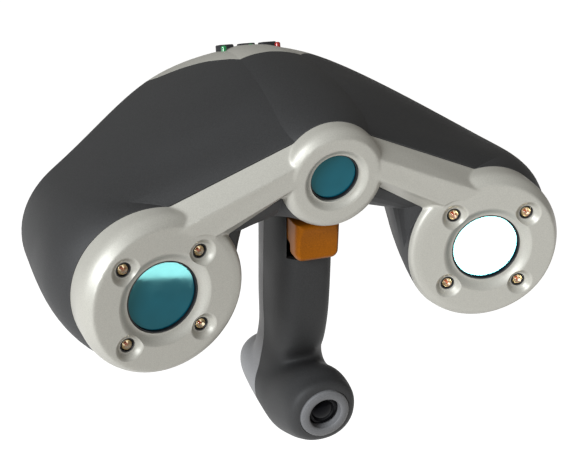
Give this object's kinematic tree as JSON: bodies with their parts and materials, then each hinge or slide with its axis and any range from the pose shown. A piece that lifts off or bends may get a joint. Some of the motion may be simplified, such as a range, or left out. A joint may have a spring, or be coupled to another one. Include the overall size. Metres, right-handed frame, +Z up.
{
  "type": "handheld 3d scanner",
  "caption": "Handheld laser scanner: winged head with three cameras and ringed lamps, orange trigger on a pistol grip, laser in the foot, keypad on the crest.",
  "frame": {"origin": "middle of the hand grip, on its vertical axis", "axes": "+X across the head towards the right camera, -Y forwards to the scanned object, +Z up along the grip"},
  "size_m": [0.2594, 0.1513, 0.1932],
  "materials": {
    "silver_paint": "satin metallic paint over moulded plastic, fine grain",
    "dark_shell": "fine grained soft-touch moulding",
    "grey_shell": "fine grained moulding",
    "trigger_orange": "satin moulded plastic",
    "black_plastic": "smooth black moulding",
    "filter_glass": "coated filter glass, teal reflection",
    "clear_lamp": "clear cast lamp body with an amber die",
    "circuit_board": "solder-masked board",
    "bare_aluminium": "milled",
    "steel": "plated steel",
    "green_lamp": "tinted lens, unlit",
    "red_lamp": "tinted lens, unlit",
    "key_rubber": "matte key caps"
  },
  "bodies": {
    "scanner": {"camera_barrel_left": "black_plastic", "camera_barrel_middle": "black_plastic", "camera_barrel_right": "black_plastic", "camera_board_left": "circuit_board", "camera_board_middle": "circuit_board", "camera_board_right": "circuit_board", "chassis_plate": "bare_aluminium", "cover_screw_1": "steel", "cover_screw_2": "steel", "data_inlet": "steel", "front_frame": "silver_paint", "handle_board": "circuit_board", "handle_front_shell": "dark_shell", "handle_rear_shell": "grey_shell", "handle_screw_1": "steel", "handle_screw_2": "steel", "head_shell": "dark_shell", "inlet_board": "circuit_board", "keypad_board": "circuit_board", "lamp_board_left": "circuit_board", "lamp_board_right": "circuit_board", "lamp_left_1": "clear_lamp", "lamp_left_2": "clear_lamp", "lamp_left_3": "clear_lamp", "lamp_left_4": "clear_lamp", "lamp_right_1": "clear_lamp", "lamp_right_2": "clear_lamp", "lamp_right_3": "clear_lamp", "lamp_right_4": "clear_lamp", "lamp_seat_left_1": "black_plastic", "lamp_seat_left_2": "black_plastic", "lamp_seat_left_3": "black_plastic", "lamp_seat_left_4": "black_plastic", "lamp_seat_right_1": "black_plastic", "lamp_seat_right_2": "black_plastic", "lamp_seat_right_3": "black_plastic", "lamp_seat_right_4": "black_plastic", "laser_bezel": "grey_shell", "laser_board": "circuit_board", "laser_lens": "filter_glass", "laser_module": "black_plastic", "lens_ring_left": "black_plastic", "lens_ring_middle": "black_plastic", "lens_ring_right": "black_plastic", "lens_window_left": "filter_glass", "lens_window_middle": "filter_glass", "lens_window_right": "filter_glass", "main_board": "circuit_board", "power_inlet": "black_plastic", "rear_cover": "silver_paint", "status_lamp_high": "red_lamp", "status_lamp_low": "green_lamp", "status_lamp_ready": "green_lamp", "trigger_pin": "steel", "trigger_spring": "steel", "trigger_switch": "black_plastic"},
    "trigger": {"trigger": "trigger_orange"},
    "button_minus": {"button_minus": "key_rubber"},
    "button_mode": {"button_mode": "key_rubber"},
    "button_plus": {"button_plus": "key_rubber"}
  },
  "joints": [
    {"name": "trigger_pull", "type": "hinge", "parent": "scanner", "child": "trigger", "pos_m": [0, -0.013, 0.0432], "axis": [1, 0, 0], "range_deg": [0, 6], "stiffness_Nm_per_rad": 0.25, "springref_deg": -5.73},
    {"name": "press_minus", "type": "slide", "parent": "scanner", "child": "button_minus", "axis": [0, -0.2706, -0.9627], "range_m": [0, 0.0009], "stiffness_N_per_m": 900, "springref_m": -0.0003},
    {"name": "press_mode", "type": "slide", "parent": "scanner", "child": "button_mode", "axis": [0, -0.2706, -0.9627], "range_m": [0, 0.0009], "stiffness_N_per_m": 900, "springref_m": -0.0003},
    {"name": "press_plus", "type": "slide", "parent": "scanner", "child": "button_plus", "axis": [0, -0.2706, -0.9627], "range_m": [0, 0.0009], "stiffness_N_per_m": 900, "springref_m": -0.0003}
  ]
}
